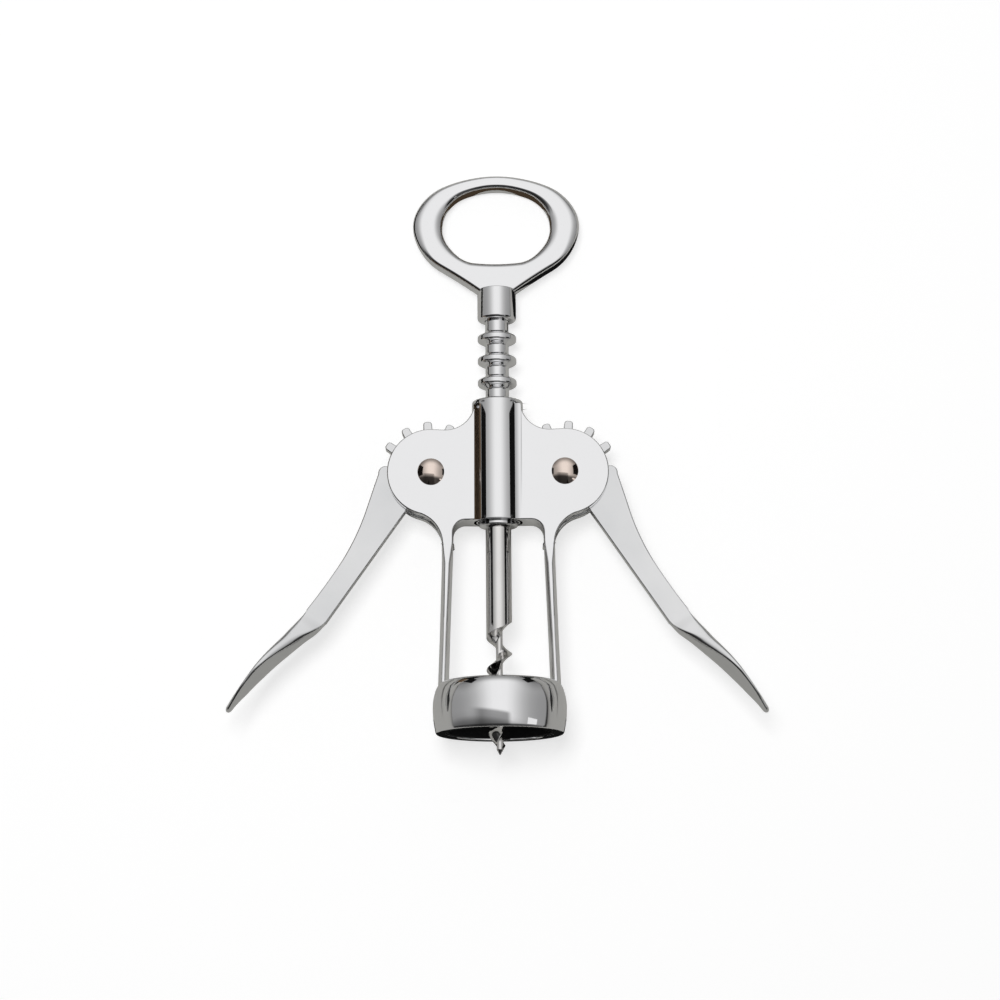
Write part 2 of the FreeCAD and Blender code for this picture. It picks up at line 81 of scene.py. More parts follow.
def grid_mesh(name: str, points: np.ndarray, wrap_rows: bool, wrap_columns: bool) -> bpy.types.Object:
    """Puts a grid of points, in mm, into a mesh of quads.

    Each quad joins a point to its neighbours in the next row and column.

    Args:
        name: name of the new object.
        points: array of rows x columns x 3, in mm.
        wrap_rows: whether the last row joins the first.
        wrap_columns: whether the last column joins the first.

    Returns:
        The linked object.
    """
    rows, columns = points.shape[:2]
    index = np.arange(rows * columns).reshape(rows, columns)
    down = np.roll(index, -1, axis=0) if wrap_rows else index[1:]
    here = index if wrap_rows else index[:-1]
    if wrap_columns:
        quads = np.stack([here, np.roll(here, -1, 1), np.roll(down, -1, 1), down], axis=-1)
    else:
        quads = np.stack([here[:, :-1], here[:, 1:], down[:, 1:], down[:, :-1]], axis=-1)
    mesh = bpy.data.meshes.new(name)
    mesh.from_pydata((points.reshape(-1, 3) * MM).tolist(), [], quads.reshape(-1, 4).tolist())
    made = bpy.data.objects.new(name, mesh)
    bpy.context.collection.objects.link(made)
    return made


def close_and_smooth(made: bpy.types.Object, sharp_angle: float = 35.0) -> bpy.types.Object:
    """Welds seams and poles, turns the faces outwards and keeps edges over an angle crisp.

    Args:
        made: object whose mesh is changed.
        sharp_angle: edges that bend more than this many degrees stay crisp.

    Returns:
        The same object.
    """
    work = bmesh.new()
    work.from_mesh(made.data)
    bmesh.ops.remove_doubles(work, verts=work.verts, dist=2e-6)
    rim = [e for e in work.edges if e.is_boundary]
    if rim:
        bmesh.ops.holes_fill(work, edges=rim, sides=0)
    bmesh.ops.recalc_face_normals(work, faces=work.faces)
    limit = math.radians(sharp_angle)
    for edge in work.edges:
        edge.smooth = len(edge.link_faces) == 2 and edge.calc_face_angle(0.0) < limit
    for face in work.faces:
        face.smooth = True
    work.to_mesh(made.data)
    work.free()
    made.data.update()
    return made


def lathe(
    name: str, profile: np.ndarray, centre: tuple[float, float], axis: str, steps: int
) -> bpy.types.Object:
    """Turns a profile about an axis.

    A point at radius r and height h goes to (r sin a, h, r cos a) about the Y axis, or
    to (r cos a, r sin a, h) about the Z axis, for a full turn of the angle a.

    Args:
        name: name of the new object.
        profile: array of (radius, height), in mm.
        centre: x and y of the axis for Z, or x and z of the axis for Y, in mm.
        axis: "Y" or "Z".
        steps: points round the axis.

    Returns:
        The closed, smooth object.
    """
    angle = np.linspace(0.0, 2.0 * np.pi, steps, endpoint=False)
    radius, height = profile[:, 0][:, None], profile[:, 1][:, None]
    first, second = radius * np.sin(angle), radius * np.cos(angle)
    level = np.broadcast_to(height, first.shape)
    if axis == "Y":
        points = np.stack([first + centre[0], level, second + centre[1]], axis=-1)
    else:
        points = np.stack([second + centre[0], first + centre[1], level], axis=-1)
    return close_and_smooth(grid_mesh(name, points, False, True))


def arc_points(
    centre: tuple[float, float], radius: float, start: float, end: float, count: int
) -> np.ndarray:
    """Points of an arc: centre plus radius times cosine and sine of each angle in degrees.

    Args:
        centre: centre of the arc.
        radius: its radius.
        start: first angle in degrees.
        end: last angle in degrees.
        count: number of points.

    Returns:
        Array of count x 2.
    """
    angle = np.radians(np.linspace(start, end, count))
    return np.stack([centre[0] + radius * np.cos(angle), centre[1] + radius * np.sin(angle)], axis=-1)


def tangent_arcs(
    points: Sequence[tuple[float, float]], heading: tuple[float, float], count: int
) -> np.ndarray:
    """Arcs through the points, each starting in the direction in which the last one ends.

    Args:
        points: points that the line passes.
        heading: direction at the first point.
        count: points along each arc.

    Returns:
        Array of points along all the arcs.
    """
    out = []
    hx, hy = heading
    for (ax, ay), (bx, by) in zip(points, points[1:]):
        cx, cy = bx - ax, by - ay
        radius = (cx * cx + cy * cy) / (2.0 * (hx * cy - hy * cx))
        mx, my = ax - hy * radius, ay + hx * radius
        start = math.atan2(ay - my, ax - mx)
        sweep = math.atan2(by - my, bx - mx) - start
        sweep = (sweep + math.pi) % (2.0 * math.pi) - math.pi
        angle = np.linspace(start, start + sweep, count)
        out.append(np.stack([mx + abs(radius) * np.cos(angle), my + abs(radius) * np.sin(angle)], axis=-1))
        hx, hy = -(by - my) / radius, (bx - mx) / radius
    return np.concatenate(out)


def carried_copy(
    node: str, name: str, keep: Callable[[np.ndarray], np.ndarray], edge_round: float
) -> bpy.types.Object:
    """Copy of a CAD node with its loose triangles welded, its flats cleaned and its edges eased.

    Edges that bend more than 30 degrees are crisp, and only those are eased. The easing
    isn't clamped, so a corner can stand out where short edges meet, as at the legs' tops.

    Args:
        node: CAD node to copy.
        name: name of the new object.
        keep: tells, for face centres in mm, which faces stay.
        edge_round: width of the rounding put on crisp edges, in mm.

    Returns:
        The new object.
    """
    crisp = math.radians(30.0)
    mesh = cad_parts[node].data.copy()
    made = bpy.data.objects.new(name, mesh)
    bpy.context.collection.objects.link(made)
    work = bmesh.new()
    work.from_mesh(mesh)
    bmesh.ops.remove_doubles(work, verts=work.verts, dist=3e-6)
    centres = np.array([face.calc_center_median()[:] for face in work.faces]) / MM
    stays = keep(centres)
    gone = [face for face, stay in zip(work.faces, stays) if not stay]
    bmesh.ops.delete(work, geom=gone, context="FACES")
    bmesh.ops.dissolve_limit(
        work, angle_limit=math.radians(0.6), verts=work.verts, edges=work.edges, use_dissolve_boundaries=False
    )
    for edge in work.edges:
        edge.smooth = len(edge.link_faces) == 2 and edge.calc_face_angle(0.0) < crisp
    for face in work.faces:
        face.smooth = True
    work.to_mesh(mesh)
    work.free()
    ease = made.modifiers.new("eased_edges", "BEVEL")
    ease.width = edge_round * MM
    ease.segments = 2
    ease.limit_method = "ANGLE"
    ease.angle_limit = crisp
    ease.harden_normals = True
    ease.use_clamp_overlap = False
    return made


def dress(made: bpy.types.Object, finish: bpy.types.Material, body: Body, slot: Slot, *nodes: str) -> None:
    """Gives a piece its finish and the body it rides on, and hides the nodes it stands for.

    Args:
        made: the piece.
        finish: its material.
        body: the body it moves with.
        slot: the record's slot; not used.
        nodes: CAD nodes it replaces.
    """
    made.data.materials.clear()
    made.data.materials.append(finish)
    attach(made, body.value)
    if nodes:
        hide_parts(*nodes)
    log.info("piece %s: %d faces", made.name, len(made.data.polygons))


# Finishes


@dataclass(frozen=True)
class MetalFinish:
    """Polished metal: mirror base, faint swirl of polishing lines and slow unevenness."""

    name: str
    colour: tuple[float, float, float]
    roughness: float
    roughness_spread: float
    swirl: float
    waviness: float
    tarnish: tuple[float, float, float]
    tarnish_amount: float = 0.10

    def build(self) -> bpy.types.Material:
        """Builds the node material.

        Returns:
            The new material.
        """
        made = bpy.data.materials.new(self.name)
        made.use_nodes = True
        nodes, links = made.node_tree.nodes, made.node_tree.links
        shader = nodes["Principled BSDF"]
        shader.inputs["Metallic"].default_value = 1.0
        place = nodes.new("ShaderNodeTexCoord")

        cloud = nodes.new("ShaderNodeTexNoise")
        cloud.inputs["Scale"].default_value = 55.0
        cloud.inputs["Detail"].default_value = 3.0
        links.new(place.outputs["Object"], cloud.inputs["Vector"])

        tint = nodes.new("ShaderNodeMixRGB")
        tint.inputs["Color1"].default_value = (*self.colour, 1.0)
        tint.inputs["Color2"].default_value = (*self.tarnish, 1.0)
        spread = nodes.new("ShaderNodeMapRange")
        spread.inputs["From Min"].default_value = 0.35
        spread.inputs["From Max"].default_value = 0.75
        spread.inputs["To Min"].default_value = 0.0
        spread.inputs["To Max"].default_value = self.tarnish_amount
        links.new(cloud.outputs["Fac"], spread.inputs["Value"])
        links.new(spread.outputs["Result"], tint.inputs["Fac"])
        links.new(tint.outputs["Color"], shader.inputs["Base Color"])

        fine = nodes.new("ShaderNodeTexNoise")
        fine.inputs["Scale"].default_value = 900.0
        fine.inputs["Detail"].default_value = 4.0
        links.new(place.outputs["Object"], fine.inputs["Vector"])
        rough = nodes.new("ShaderNodeMapRange")
        rough.inputs["To Min"].default_value = self.roughness
        rough.inputs["To Max"].default_value = self.roughness + self.roughness_spread
        links.new(fine.outputs["Fac"], rough.inputs["Value"])
        links.new(rough.outputs["Result"], shader.inputs["Roughness"])

        stretch = nodes.new("ShaderNodeMapping")
        stretch.inputs["Scale"].default_value = (2600.0, 240.0, 2600.0)
        links.new(place.outputs["Object"], stretch.inputs["Vector"])
        lines = nodes.new("ShaderNodeTexNoise")
        lines.inputs["Scale"].default_value = 1.0
        lines.inputs["Detail"].default_value = 2.0
        links.new(stretch.outputs["Vector"], lines.inputs["Vector"])
        polish = nodes.new("ShaderNodeBump")
        polish.inputs["Strength"].default_value = self.swirl
        polish.inputs["Distance"].default_value = 0.00001
        links.new(lines.outputs["Fac"], polish.inputs["Height"])
        wave = nodes.new("ShaderNodeBump")
        wave.inputs["Strength"].default_value = self.waviness
        wave.inputs["Distance"].default_value = 0.0002
        links.new(cloud.outputs["Fac"], wave.inputs["Height"])
        links.new(polish.outputs["Normal"], wave.inputs["Normal"])
        links.new(wave.outputs["Normal"], shader.inputs["Normal"])
        return made


@dataclass(frozen=True)
class PlasticFinish:
    """Dull surface with a fine grain: moulded plastic, and the dull brown of a painted dark reflection."""

    name: str
    colour: tuple[float, float, float]
    roughness: float

    def build(self) -> bpy.types.Material:
        """Builds the node material.

        Returns:
            The new material.
        """
        made = bpy.data.materials.new(self.name)
        made.use_nodes = True
        nodes, links = made.node_tree.nodes, made.node_tree.links
        shader = nodes["Principled BSDF"]
        shader.inputs["Specular IOR Level"].default_value = 0.25
        place = nodes.new("ShaderNodeTexCoord")
        grain = nodes.new("ShaderNodeTexNoise")
        grain.inputs["Scale"].default_value = 1400.0
        grain.inputs["Detail"].default_value = 3.0
        links.new(place.outputs["Object"], grain.inputs["Vector"])
        shade = nodes.new("ShaderNodeValToRGB")
        shade.color_ramp.elements[0].color = (*(c * 0.7 for c in self.colour), 1.0)
        shade.color_ramp.elements[1].color = (*(c * 1.3 for c in self.colour), 1.0)
        links.new(grain.outputs["Fac"], shade.inputs["Fac"])
        links.new(shade.outputs["Color"], shader.inputs["Base Color"])
        rough = nodes.new("ShaderNodeMapRange")
        rough.inputs["To Min"].default_value = self.roughness - 0.08
        rough.inputs["To Max"].default_value = self.roughness + 0.08
        links.new(grain.outputs["Fac"], rough.inputs["Value"])
        links.new(rough.outputs["Result"], shader.inputs["Roughness"])
        bump = nodes.new("ShaderNodeBump")
        bump.inputs["Strength"].default_value = 0.25
        bump.inputs["Distance"].default_value = 0.00003
        links.new(grain.outputs["Fac"], bump.inputs["Height"])
        links.new(bump.outputs["Normal"], shader.inputs["Normal"])
        return made


CHROME = MetalFinish("polished_chrome", (0.90, 0.90, 0.91), 0.03, 0.03, 0.06, 0.012, (0.82, 0.81, 0.80))
STEEL = MetalFinish("worm_steel", (0.84, 0.83, 0.82), 0.06, 0.05, 0.12, 0.02, (0.66, 0.63, 0.60), 0.25)
# Chrome of the levers: its colour is darker than the casting's chrome, and that darkening is painted shade.
ARM_CHROME_PAINTED_SHADE = MetalFinish(
    "arm_chrome_painted_shade", (0.80, 0.80, 0.805), 0.05, 0.05, 0.10, 0.02, (0.66, 0.67, 0.68), 0.6
)
COPPER = MetalFinish("copper_wash", (0.92, 0.79, 0.71), 0.07, 0.05, 0.10, 0.02, (0.74, 0.58, 0.50), 0.4)
# Dull brown for the hollows beside the tube: a painted dark reflection on the chrome casting.
HOLLOW_PAINTED_REFLECTION = PlasticFinish("hollow_painted_reflection", (0.150, 0.100, 0.062), 0.50)
BLACK = PlasticFinish("liner_plastic", (0.012, 0.012, 0.013), 0.55)


# Sub-assemblies


@dataclass
class BottleFrame:
    """Frame casting with its guide tube, legs and bell, and the liner inside the bell."""

    bell_height: float = 13.8
    bell_radius: float = 18.1
    liner_radius: float = 14.7
    liner_wall: float = 0.8
    ceiling: float = 11.6
    guide_radius: float = 3.85
    tube_radius: float = 7.0
    tube_top: float = 92.0
    tube_foot: float = 58.0
    bore_radius: float = 5.65
    touch: float = 5.69
    bulge: float = 29.0
    widest: float = 7.0
    hollow_top: float = 90.4
    hollow_section: tuple[tuple[float, float], ...] = (
        (-6.54, 4.9),
        (-6.50, 4.82),
        (-6.47, 4.6),
        (-6.42, 3.5),
        (-6.36, 3.25),
        (-6.1, 3.1),
        (-5.8, 3.1),
    )

    def bell(self) -> bpy.types.Object:
        """Bell: flat rim, side bulging along an arc, rounded shoulder, hollow inside.

        Returns:
            The bell's object.
        """
        heights = np.linspace(0.45, 11.6, 40)
        fall = self.bulge - np.sqrt(self.bulge**2 - (heights - self.widest) ** 2)
        steeper = np.where(heights < self.widest, 1.0, 2.0)
        side = np.stack([self.bell_radius - fall * steeper, heights], axis=-1)
        shoulder = tangent_arcs([tuple(side[-1]), (16.45, 13.35), (15.0, 13.8)], (-0.31, 0.95), 12)
        rim = arc_points((16.9, 0.42), 0.42, 270.0, 355.0, 8)
        inner_lip = arc_points((self.liner_radius + 0.3, 0.3), 0.3, 180.0, 270.0, 6)
        profile = np.concatenate(
            [
                [[5.0, self.bell_height]],
                shoulder[::-1],
                side[::-1][1:],
                rim[::-1],
                inner_lip[::-1],
                [[self.liner_radius, self.ceiling], [5.0, self.ceiling], [5.0, self.bell_height]],
            ]
        )
        return lathe("bell", profile, (0.0, 0.0), "Y", 160)

    def liner(self) -> bpy.types.Object:
        """Liner: thin cup with a rounded inner corner and a collar round the worm.

        Returns:
            The liner's object.
        """
        inner = self.liner_radius - self.liner_wall
        under = self.ceiling - self.liner_wall
        corner = arc_points((inner - 1.0, under - 1.0), 1.0, 0.0, 90.0, 8)
        mouth = arc_points((self.liner_radius - 0.4, 0.9), 0.4, 270.0, 180.0, 6)
        hole = arc_points((self.guide_radius + 0.35, under + 0.35), 0.35, 270.0, 180.0, 6)
        profile = np.concatenate(
            [
                [[self.liner_radius, self.ceiling], [self.liner_radius, 0.5]],
                mouth,
                corner,
                hole,
                [[self.guide_radius, self.bell_height - 0.2], [4.9, self.bell_height - 0.2]],
                [[4.9, self.ceiling], [self.liner_radius, self.ceiling]],
            ]
        )
        return lathe("liner_cup", profile, (0.0, 0.0), "Y", 128)

    def plates(self) -> bpy.types.Object:
        """Plates and legs: the casting above the bell, without its tube, with eased edges.

        Returns:
            The object of the plates.
        """

        def above_bell(centres: np.ndarray) -> np.ndarray:
            """Faces above the bell's flat top, without the tube's outside and the left hollow's.

            Args:
                centres: face centres, in mm.

            Returns:
                Which of the faces stay.
            """
            x, y, z = centres.T
            outside = np.hypot(x, z) > self.tube_radius - 0.25
            on_tube = outside & (np.abs(z) > self.touch) & (np.abs(x) < 4.2)
            in_groove = (x > -6.6) & (x < -4.0) & (np.abs(z) > 4.905) & (y > 58.05) & (y < 91.0)
            return (y > self.bell_height + 0.05) & ~on_tube & ~in_groove

        return carried_copy("frame_casting", "plates_and_legs", above_bell, 0.35)

    def groove(self, name: str, side: int) -> bpy.types.Object:
        """Hollow beside the tube's left: a steep wall under the plate's edge and a narrow floor.

        Args:
            name: its name.
            side: 1 for the front, -1 for the back.

        Returns:
            The object of the hollow.
        """
        section = np.array(self.hollow_section)
        rows = np.linspace(self.tube_foot, self.hollow_top, 8)
        shape = (len(rows), len(section))
        points = np.stack(
            [
                np.broadcast_to(section[:, 0], shape),
                np.broadcast_to(rows[:, None], shape),
                np.broadcast_to(side * section[:, 1], shape),
            ],
            axis=-1,
        )
        made = grid_mesh(name, points[:, ::side], False, False)
        made.data.shade_smooth()
        return made

    def tube(self) -> bpy.types.Object:
        """Guide tube: smooth outside, rounded upper end, bore with an eased mouth.

        Returns:
            The tube's object.
        """
        out, bore, top, low = self.tube_radius, self.bore_radius, self.tube_top, self.tube_foot
        crown = arc_points((out - 0.55, top - 0.55), 0.55, 0.0, 90.0, 10)
        mouth = arc_points((bore + 0.3, top - 0.3), 0.3, 90.0, 180.0, 6)
        heel = arc_points((out - 0.3, low + 0.3), 0.3, 270.0, 360.0, 6)
        profile = np.concatenate([[[bore, low]], heel, crown, mouth, [[bore, low]]])
        return lathe("guide_tube", profile, (0.0, 0.0), "Y", 160)

    def build(
        self, chrome: bpy.types.Material, recess: bpy.types.Material, black: bpy.types.Material
    ) -> None:
        """Builds and dresses the pieces.

        Args:
            chrome: finish of the casting.
            recess: finish of the hollows beside the tube, a dull brown that is a painted dark reflection.
            black: finish of the liner.
        """
        dress(self.plates(), chrome, Body.FRAME, Slot.CASTING, "frame_casting")
        # The two hollows get the dull brown: a painted dark reflection beside the tube.
        dress(self.groove("front_hollow", 1), recess, Body.FRAME, Slot.CASTING, "frame_casting")
        dress(self.groove("back_hollow", -1), recess, Body.FRAME, Slot.CASTING, "frame_casting")
        dress(self.tube(), chrome, Body.FRAME, Slot.CASTING, "frame_casting")
        dress(self.bell(), chrome, Body.FRAME, Slot.CASTING, "frame_casting")
        dress(self.liner(), black, Body.FRAME, Slot.LINER, "bell_liner")


@dataclass
class Rivet:
    """Domed rivet through both plates."""

    name: str
    node: str
    across: float
    up: float = 71.4
    head: float = 3.65
    shank: float = 2.5
    face: float = 4.9
    rise: float = 1.6
    rim: float = 0.35

    def build(self, copper: bpy.types.Material) -> None:
        """Builds and dresses the rivet.

        Args:
            copper: its finish.
        """
        rise = self.rise - self.rim
        sphere = (self.head**2 + rise**2) / (2.0 * rise)
        reach = math.degrees(math.asin(self.head / sphere))
        front = arc_points((0.0, self.face + self.rise - sphere), sphere, 90.0, 90.0 - reach, 28)
        half = np.concatenate([front, [[self.head - 0.05, self.face], [self.shank, self.face]]])
        back = half[::-1] * np.array([1.0, -1.0])
        made = lathe(self.name, np.concatenate([half, back]), (self.across, self.up), "Z", 72)
        dress(made, copper, Body.FRAME, Slot.RIVET, self.node)


@dataclass
class Lever:
    """Lever with its toothed hub, flat blade and wide faceted grip."""

    name: str
    node: str
    side: int
    opening: float
    body: Body
    across: float = 18.3
    up: float = 71.4
    rounding: float = 1.5
    least_rounding: float = 0.25
    grip_start: float = 50.0
    grip_end: float = 85.0
    easing_length: float = 10.0
    end_round: float = 1.2
    start_slopes: tuple[float, ...] = (0.05, 0.05, -0.05, 0.0, 0.0)
    # u, inner ridge, inner face edge, outer face edge, outer ridge, half thickness
    sections: list[tuple[float, ...]] = field(
        default_factory=lambda: [
            (50.0, -0.40, -0.25, 5.80, 5.95, 1.70),
            (54.0, 0.00, 0.95, 5.80, 6.40, 2.90),
            (57.0, 0.90, 2.40, 6.20, 6.85, 3.70),
            (60.6, 1.90, 3.70, 6.60, 7.30, 4.60),
            (64.0, 2.80, 4.90, 7.10, 7.90, 5.50),
            (67.5, 3.70, 5.95, 7.50, 8.25, 6.30),
            (71.0, 4.40, 6.70, 7.75, 8.50, 6.40),
            (74.5, 5.05, 7.10, 7.85, 8.60, 5.80),
            (78.0, 5.60, 7.25, 7.90, 8.63, 5.00),
            (81.6, 6.15, 7.25, 7.80, 8.60, 3.20),
            (85.0, 6.40, 7.15, 7.60, 8.35, 1.80),
        ]
    )

    def axes(self) -> tuple[np.ndarray, np.ndarray, np.ndarray]:
        """Directions along the arm and away from the spindle, and the pivot.

        Returns:
            Unit vectors along and away, and the pivot's place in mm.
        """
        turn = math.radians(self.opening)
        along = np.array([self.side * math.sin(turn), -math.cos(turn), 0.0])
        away = np.array([self.side * math.cos(turn), math.sin(turn), 0.0])
        return along, away, np.array([self.side * self.across, self.up, 0.0])

    def grip(self) -> bpy.types.Object:
        """Grip: six-sided sections joined along smooth curves through each corner.

        Returns:
            The grip's object.
        """
        table = np.array(self.sections)
        stations = np.concatenate([np.linspace(49.8, 81.6, 90), np.linspace(82.0, self.grip_end, 16)])
        columns = []
        for column in range(1, 6):
            slopes = np.gradient(table[:, column], table[:, 0])
            slopes[0] = self.start_slopes[column - 1]
            columns.append(self.hermite(stations, table[:, 0], table[:, column], slopes))
        inner, near, far, outer, thick = columns
        corners = np.stack(
            [
                np.stack([inner, np.zeros_like(inner)], -1),
                np.stack([near, thick], -1),
                np.stack([far, thick], -1),
                np.stack([outer, np.zeros_like(outer)], -1),
                np.stack([far, -thick], -1),
                np.stack([near, -thick], -1),
            ],
            axis=1,
        )
        ease = np.clip((stations - self.grip_start) / self.easing_length, 0.0, 1.0)
        more = self.rounding - self.least_rounding
        ring = self.rounded(corners, self.least_rounding + more * ease * ease * (3 - 2 * ease))
        shrink = np.clip((self.grip_end - stations) / self.end_round, 0.0, 1.0)
        shrink = np.sqrt(shrink * (2.0 - shrink))
        middle = ring.mean(axis=1, keepdims=True)
        ring = middle + (ring - middle) * np.maximum(shrink, 0.02)[:, None, None]
        along, away, pivot = self.axes()
        points = (
            pivot
            + stations[:, None, None] * along
            + ring[:, :, 0][..., None] * away
            + ring[:, :, 1][..., None] * np.array([0.0, 0.0, 1.0])
        )
        return close_and_smooth(grid_mesh(self.name + "_grip", points, False, True), 24.0)

    @staticmethod
    def rounded(corners: np.ndarray, rounding: np.ndarray) -> np.ndarray:
        """Rounds the corners of each section with a curve that touches both sides.

        A point of the curve is (1-t)^2 times its start, plus 2t(1-t) times the corner,
        plus t^2 times its end, for t from 0 to 1.

        Args:
            corners: array of sections x corners x 2.
            rounding: reach of the rounding along each side, one for each section.

        Returns:
            Array of sections x points x 2.
        """
        before, after = np.roll(corners, 1, axis=1), np.roll(corners, -1, axis=1)
        back = before - corners
        ahead = after - corners
        room_back = np.linalg.norm(back, axis=-1, keepdims=True)
        room_ahead = np.linalg.norm(ahead, axis=-1, keepdims=True)
        cut = np.minimum(rounding[:, None, None], 0.46 * np.minimum(room_back, room_ahead))
        first = corners + back / room_back * cut
        last = corners + ahead / room_ahead * cut
        t = np.linspace(0.0, 1.0, 9)[None, None, :, None]
        first, middle, last = first[:, :, None], corners[:, :, None], last[:, :, None]
        curve = (1 - t) ** 2 * first + 2 * t * (1 - t) * middle + t**2 * last
        return curve.reshape(len(corners), -1, 2)

    @staticmethod
    def hermite(at: np.ndarray, xs: np.ndarray, ys: np.ndarray, slopes: np.ndarray) -> np.ndarray:
        """Cubic through the points with the given slopes.

        Args:
            at: places to work out.
            xs: places of the points.
            ys: their values.
            slopes: slope at each.

        Returns:
            Values at the places.
        """
        seat = np.clip(np.searchsorted(xs, at) - 1, 0, len(xs) - 2)
        width = xs[seat + 1] - xs[seat]
        t = np.clip((at - xs[seat]) / width, 0.0, 1.0)
        a = (1 + 2 * t) * (1 - t) ** 2 * ys[seat] + t * (1 - t) ** 2 * width * slopes[seat]
        b = t * t * (3 - 2 * t) * ys[seat + 1] + t * t * (t - 1) * width * slopes[seat + 1]
        return a + b

    def build(self, chrome: bpy.types.Material) -> None:
        """Builds and dresses the lever.

        Args:
            chrome: its finish.
        """
        along, _, pivot = self.axes()

        def before_grip(centres: np.ndarray) -> np.ndarray:
            """Faces of the hub, the teeth and the flat blade.

            Args:
                centres: face centres, in mm.

            Returns:
                Which of the faces stay.
            """
            return (centres - pivot) @ along < self.grip_start - 0.1

        blade = carried_copy(self.node, self.name + "_blade", before_grip, 0.3)
        dress(blade, chrome, self.body, Slot.LEVER, self.node)
        dress(self.grip(), chrome, self.body, Slot.LEVER, self.node)


@dataclass
class Rack:
    """Hollow rack: round rings on a neck, with a collar at its foot."""

    ring: float = 5.35
    neck: float = 3.225
    pitch: float = 6.2832
    lowest: float = 59.5836
    rings: int = 9
    foot: float = 56.8
    head: float = 116.0
    bore: float = 2.05
    ring_reach: tuple[float, ...] = (0.0, 0.42, 0.62, 0.78, 0.90, 1.02, 1.55, 1.75, 1.90, 2.10)
    ring_drop: tuple[float, ...] = (0.0, 0.0, 0.05, 0.16, 0.33, 0.55, 1.62, 1.93, 2.07, 2.125)

    def build(self, chrome: bpy.types.Material) -> None:
        """Builds the rack: each ring has a rounded land and sloping, hollow-footed flanks.

        The radius drops below the ring's by ring_drop at the distance ring_reach from its middle.

        Args:
            chrome: its finish.
        """
        height = np.arange(self.foot + 0.4, self.head, 0.06)
        number = np.clip(np.round((height - self.lowest) / self.pitch), 0, self.rings - 1)
        off = height - (self.lowest + number * self.pitch)
        off = np.where((number == 0) & (off < 0.0), 0.0, np.abs(off))
        body = np.stack([self.ring - np.interp(off, self.ring_reach, self.ring_drop), height], axis=-1)
        heel = arc_points((self.ring - 0.4, self.foot + 0.4), 0.4, 270.0, 360.0, 6)
        profile = np.concatenate(
            [
                [[self.bore, self.head], [self.bore, self.foot]],
                heel,
                body,
                [[self.neck, self.head], [self.bore, self.head]],
            ]
        )
        made = lathe("rack_rings", profile, (0.0, 0.0), "Y", 112)
        dress(made, chrome, Body.SPINDLE, Slot.SPINDLE, "rack_sleeve")


@dataclass
class Worm:
    """Worm bar: plain shaft whose lower end is cut into a pointed screw."""

    bar: float = 3.5
    core: float = 0.9
    pitch: float = 8.9
    first_crest: float = 30.66
    groove_turns: float = 4.0 + 100.0 / 360.0
    tip: float = -5.6
    tip_start: float = 0.6
    shaft_top: float = 56.6
    tang: float = 2.0
    tang_top: float = 126.0
    point: float = 0.15
    floor_half: float = 1.9
    crest_half: float = 0.06
    flank_power: float = 1.83

    def build(self, steel: bpy.types.Material) -> None:
        """Builds the worm: at each angle and height the radius is the least of the bar, the
        tip's cone and the hollow flanks of the one helical groove.

        Args:
            steel: its finish.
        """
        angle = np.linspace(0.0, 2.0 * np.pi, 128, endpoint=False)
        cut, plain = np.linspace(self.tip, 33.0, 460), np.linspace(33.3, self.shaft_top - 0.3, 6)
        height = np.concatenate([cut, plain])
        turn, level = np.meshgrid((np.degrees(angle) - 90.0) / 360.0, height)
        climb = np.clip((level - self.tip) / (self.tip_start - self.tip), 0.0, 1.0)
        cone = self.point + (self.bar - self.point) * climb
        radius = np.minimum(self.bar, cone)
        start = self.first_crest - self.pitch / 2 - 4 * self.pitch
        for lap in range(-1, 6):
            along = turn + lap
            off = np.abs(level - (start + self.pitch * along))
            span = self.pitch / 2 - self.crest_half - self.floor_half
            flank = np.clip((off - self.floor_half) / span, 0.0, None) ** self.flank_power
            inside = (along >= 0.0) & (along <= self.groove_turns) & (off < self.pitch / 2)
            floor = self.core + (self.bar - self.core) * flank
            radius = np.where(inside, np.minimum(radius, floor), radius)
        rows = [radius, np.full((4, len(angle)), [[self.bar - 0.3], [self.tang], [self.tang], [0.0]])]
        radius = np.concatenate(rows)
        level = np.concatenate([height, [self.shaft_top, self.shaft_top, self.tang_top, self.tang_top]])
        radius = np.concatenate([np.zeros((1, len(angle))), radius])
        level = np.concatenate([[self.tip], level])[:, None]
        points = np.stack(
            [radius * np.sin(angle), np.broadcast_to(level, radius.shape), radius * np.cos(angle)], axis=-1
        )
        made = close_and_smooth(grid_mesh("worm_bar", points, False, True), 40.0)
        dress(made, steel, Body.SCREW, Slot.WORM, "worm")


